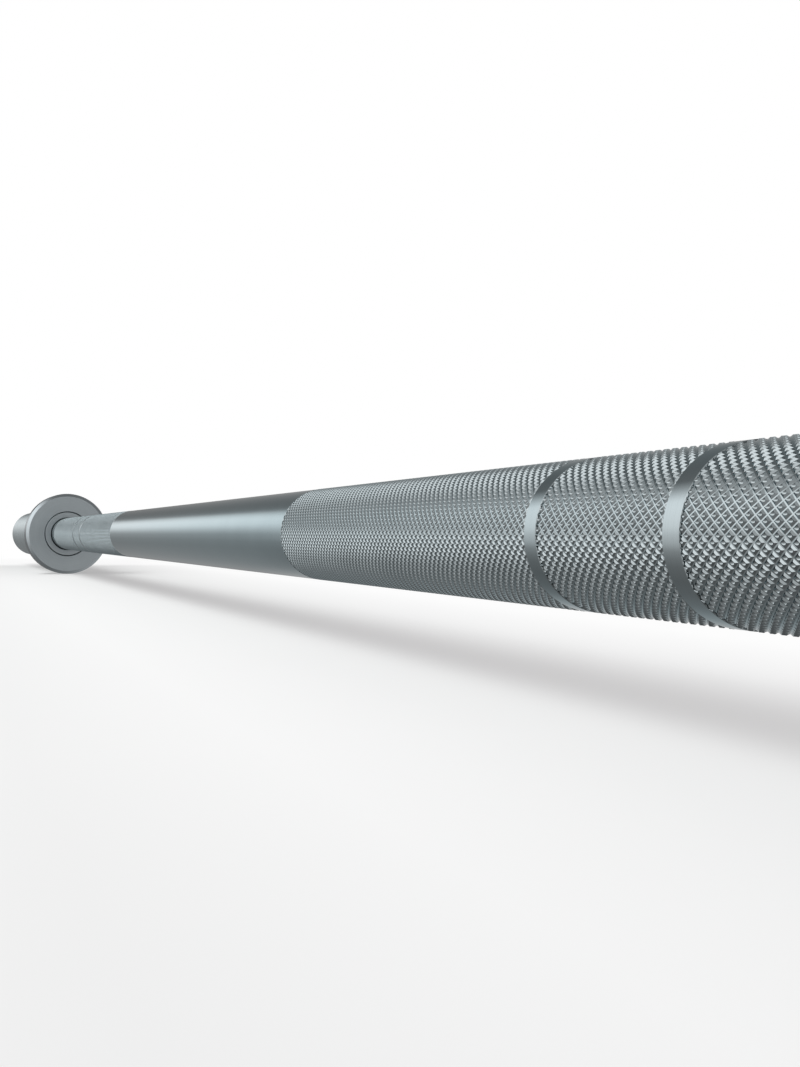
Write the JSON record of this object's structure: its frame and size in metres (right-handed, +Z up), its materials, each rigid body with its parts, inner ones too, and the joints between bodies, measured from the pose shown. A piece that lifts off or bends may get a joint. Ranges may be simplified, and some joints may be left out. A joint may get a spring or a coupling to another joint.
{
  "type": "barbell",
  "caption": "Straight weightlifting bar with a knurled shaft, ring marks, and a sleeve with a collar at each end, which turns on a bushing and needle bearings.",
  "frame": {"origin": "on the shaft's axis, half way along the bar", "axes": "+X along the bar towards the right sleeve, +Z up"},
  "size_m": [2.2, 0.072, 0.072],
  "materials": {
    "shaft_steel": "satin hard chrome",
    "sleeve_chrome": "satin, finely turned",
    "collar_chrome": "satin, turned face",
    "dust_ring_steel": "satin turned",
    "seal_rubber": "matte",
    "bronze": "satin, oiled",
    "bearing_steel": "ground bright",
    "cage_steel": "pressed sheet",
    "spring_steel": "black phosphate",
    "cap_aluminium": "satin turned"
  },
  "bodies": {
    "shaft": {"shaft": "shaft_steel", "left_inner_thrust_washer": "bearing_steel", "left_outer_thrust_washer": "bearing_steel", "left_retaining_ring": "spring_steel", "right_inner_thrust_washer": "bearing_steel", "right_outer_thrust_washer": "bearing_steel", "right_retaining_ring": "spring_steel"},
    "left_sleeve": {"left_sleeve": "sleeve_chrome", "left_collar": "collar_chrome", "left_dust_ring": "dust_ring_steel", "left_seal": "seal_rubber", "left_bushing": "bronze", "left_inner_needle_cups": "bearing_steel", "left_outer_needle_cups": "bearing_steel", "left_end_cap": "cap_aluminium", "left_end_circlip": "spring_steel"},
    "left_cages": {"left_inner_needle_cages": "cage_steel", "left_inner_needles": "bearing_steel", "left_outer_needle_cages": "cage_steel", "left_outer_needles": "bearing_steel"},
    "right_sleeve": {"right_sleeve": "sleeve_chrome", "right_collar": "collar_chrome", "right_dust_ring": "dust_ring_steel", "right_seal": "seal_rubber", "right_bushing": "bronze", "right_inner_needle_cups": "bearing_steel", "right_outer_needle_cups": "bearing_steel", "right_end_cap": "cap_aluminium", "right_end_circlip": "spring_steel"},
    "right_cages": {"right_inner_needle_cages": "cage_steel", "right_inner_needles": "bearing_steel", "right_outer_needle_cages": "cage_steel", "right_outer_needles": "bearing_steel"}
  },
  "joints": [
    {"name": "left_sleeve_spin", "type": "hinge", "parent": "shaft", "child": "left_sleeve", "pos_m": [-0.8775, 0, 0], "axis": [1, 0, 0], "continuous": true},
    {"name": "left_cage_spin", "type": "hinge", "parent": "shaft", "child": "left_cages", "pos_m": [-0.8775, 0, 0], "axis": [1, 0, 0], "continuous": true},
    {"name": "right_sleeve_spin", "type": "hinge", "parent": "shaft", "child": "right_sleeve", "pos_m": [0.8775, 0, 0], "axis": [1, 0, 0], "continuous": true},
    {"name": "right_cage_spin", "type": "hinge", "parent": "shaft", "child": "right_cages", "pos_m": [0.8775, 0, 0], "axis": [1, 0, 0], "continuous": true}
  ],
  "couplings": [
    {"joint": "left_cage_spin", "follows": "left_sleeve_spin", "ratio": 0.54545},
    {"joint": "right_cage_spin", "follows": "right_sleeve_spin", "ratio": 0.54545}
  ]
}
